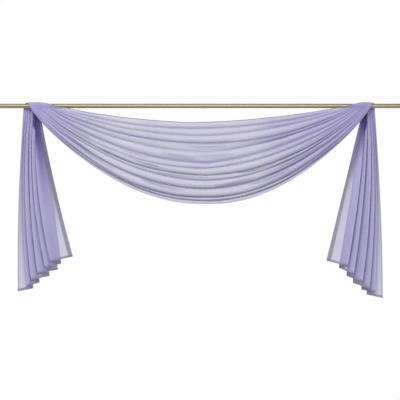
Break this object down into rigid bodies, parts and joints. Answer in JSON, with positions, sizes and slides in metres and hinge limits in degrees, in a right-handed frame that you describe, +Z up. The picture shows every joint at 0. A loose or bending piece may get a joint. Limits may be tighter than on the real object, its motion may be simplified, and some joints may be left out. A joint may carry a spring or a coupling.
{
  "type": "swag and tail drape on a curtain rod",
  "caption": "Sheer scarf drape wound once over a round curtain rod near each end: a deep swag in front, pleated tails hanging behind.",
  "frame": {"origin": "on the rod's axis, at the middle of its length", "axes": "+X along the rod to the viewer's right, +Z up, and the front, where the swag hangs, towards -Y"},
  "size_m": [2.6, 0.1144, 1.2282],
  "materials": {
    "rod": "satin champagne brass",
    "voile": "sheer lilac voile, plain weave"
  },
  "bodies": {
    "root": {"rod": "rod", "scarf": "voile"}
  },
  "joints": []
}
